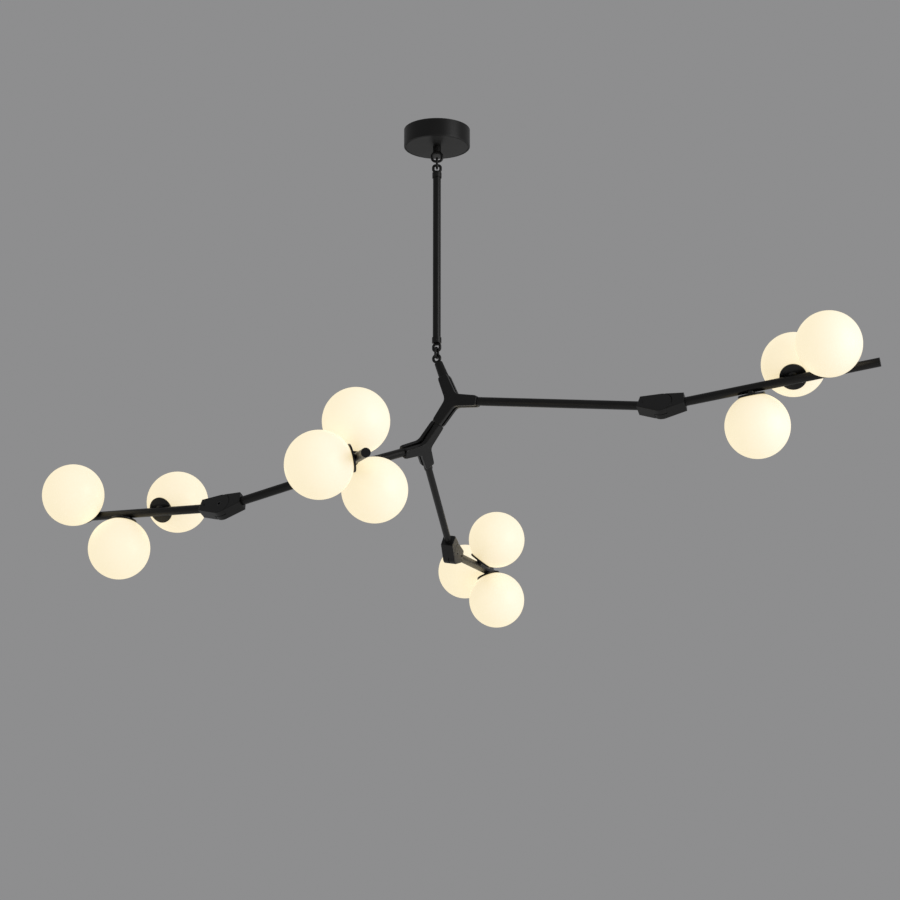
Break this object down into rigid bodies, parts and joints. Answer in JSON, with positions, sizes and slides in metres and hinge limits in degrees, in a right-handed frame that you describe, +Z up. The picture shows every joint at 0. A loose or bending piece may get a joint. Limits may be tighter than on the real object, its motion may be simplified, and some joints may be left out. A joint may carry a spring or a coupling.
{
  "type": "branch chandelier",
  "caption": "Black branching ceiling light: a canopy and linked stem carry clamped forks, folding elbows and tubes with opal glass globes.",
  "frame": {"origin": "centre of the canopy's rim, on the ceiling plane", "axes": "+Z up into the ceiling, +X to the right and -Y towards a viewer who faces the longest arm on the right"},
  "size_m": [1.3085, 1.0663, 0.7646],
  "materials": {
    "black_tube": "matte black powder coat",
    "black_machined": "matte black anodised, machined",
    "zinc_steel": "zinc plated",
    "black_screws": "black oxide",
    "washer_plastic": "matte black acetal",
    "holder_plastic": "pale heat-proof moulding",
    "bulb_glass": "frosted, lit",
    "opal_glass": "opal blown glass, satin"
  },
  "bodies": {
    "ceiling_mount": {"mounting_bracket": "zinc_steel", "hanger_nipple": "zinc_steel", "hanger_nuts": "zinc_steel", "canopy": "black_tube", "canopy_eye": "black_tube", "neck_set_screw": "black_screws"},
    "top_link_body": {"top_link": "black_tube"},
    "stem": {"stem_top_eye": "black_tube", "stem_tube": "black_tube", "stem_bottom_eye": "black_tube"},
    "bottom_link_body": {"bottom_link": "black_tube"},
    "branch": {"fork_eye": "black_tube", "upper_fork_front": "black_machined", "upper_fork_back": "black_machined", "upper_fork_screws": "black_screws", "lower_fork_front": "black_machined", "lower_fork_back": "black_machined", "lower_fork_screws": "black_screws", "near_fork_front": "black_machined", "near_fork_back": "black_machined", "near_fork_screws": "black_screws", "fork_joint_pin": "black_tube", "right_rod": "black_tube", "middle_rod": "black_tube", "left_rod": "black_tube", "drop_rod": "black_tube", "drop_rod_sleeve": "black_tube", "near_tube": "black_tube", "near_cups": "black_tube", "near_lampholders": "holder_plastic", "near_bulbs": "bulb_glass", "near_globes": "opal_glass"},
    "right_elbow": {"right_elbow_inner": "black_machined", "right_elbow_bolt": "black_screws", "right_elbow_washer": "washer_plastic"},
    "right_arm": {"right_elbow_outer": "black_machined", "right_tube": "black_tube", "right_cups": "black_tube", "right_lampholders": "holder_plastic", "right_bulbs": "bulb_glass", "right_globes": "opal_glass"},
    "left_elbow": {"left_elbow_inner": "black_machined", "left_elbow_bolt": "black_screws", "left_elbow_washer": "washer_plastic"},
    "left_arm": {"left_elbow_outer": "black_machined", "left_tube": "black_tube", "left_cups": "black_tube", "left_lampholders": "holder_plastic", "left_bulbs": "bulb_glass", "left_globes": "opal_glass"},
    "drop_elbow": {"drop_elbow_inner": "black_machined", "drop_elbow_bolt": "black_screws", "drop_elbow_washer": "washer_plastic"},
    "drop_arm": {"drop_elbow_outer": "black_machined", "drop_tube": "black_tube", "drop_cups": "black_tube", "drop_lampholders": "holder_plastic", "drop_bulbs": "bulb_glass", "drop_globes": "opal_glass"}
  },
  "joints": [
    {"name": "top_link_swing", "type": "hinge", "parent": "ceiling_mount", "child": "top_link_body", "pos_m": [0, 0, -0.05513], "axis": [1, 0, 0], "range_deg": [-20, 20]},
    {"name": "stem_swing", "type": "hinge", "parent": "top_link_body", "child": "stem", "pos_m": [0, 0, -0.06682], "axis": [0, 1, 0], "range_deg": [-20, 20]},
    {"name": "bottom_link_swing", "type": "hinge", "parent": "stem", "child": "bottom_link_body", "pos_m": [0, 0, -0.38207], "axis": [0.8965, -0.4431, 0], "range_deg": [-20, 20]},
    {"name": "branch_swing", "type": "hinge", "parent": "bottom_link_body", "child": "branch", "pos_m": [0, 0, -0.39377], "axis": [-0.4431, -0.8965, 0], "range_deg": [-20, 20]},
    {"name": "right_elbow_swivel", "type": "hinge", "parent": "branch", "child": "right_elbow", "pos_m": [0.34754, -0.17177, -0.51901], "axis": [0.888, -0.4389, -0.1374], "range_deg": [-90, 90]},
    {"name": "right_elbow_fold", "type": "hinge", "parent": "right_elbow", "child": "right_arm", "pos_m": [0.34754, -0.17177, -0.51901], "axis": [-0.3186, -0.8026, 0.5042], "range_deg": [-65, 30]},
    {"name": "left_elbow_swivel", "type": "hinge", "parent": "branch", "child": "left_elbow", "pos_m": [-0.33921, -0.03766, -0.65007], "axis": [-0.9071, 0.3624, -0.2143], "range_deg": [-90, 90]},
    {"name": "left_elbow_fold", "type": "hinge", "parent": "left_elbow", "child": "left_arm", "pos_m": [-0.33921, -0.03766, -0.65007], "axis": [0.4209, 0.7907, -0.4446], "range_deg": [-64, 31]},
    {"name": "drop_elbow_swivel", "type": "hinge", "parent": "branch", "child": "drop_elbow", "pos_m": [0.02449, 0.26689, -0.66881], "axis": [0.1623, 0.8818, -0.4428], "range_deg": [-90, 90]},
    {"name": "drop_elbow_fold", "type": "hinge", "parent": "drop_elbow", "child": "drop_arm", "pos_m": [0.02449, 0.26689, -0.66881], "axis": [-0.9519, 0.2582, 0.1653], "range_deg": [-19, 77]}
  ]
}
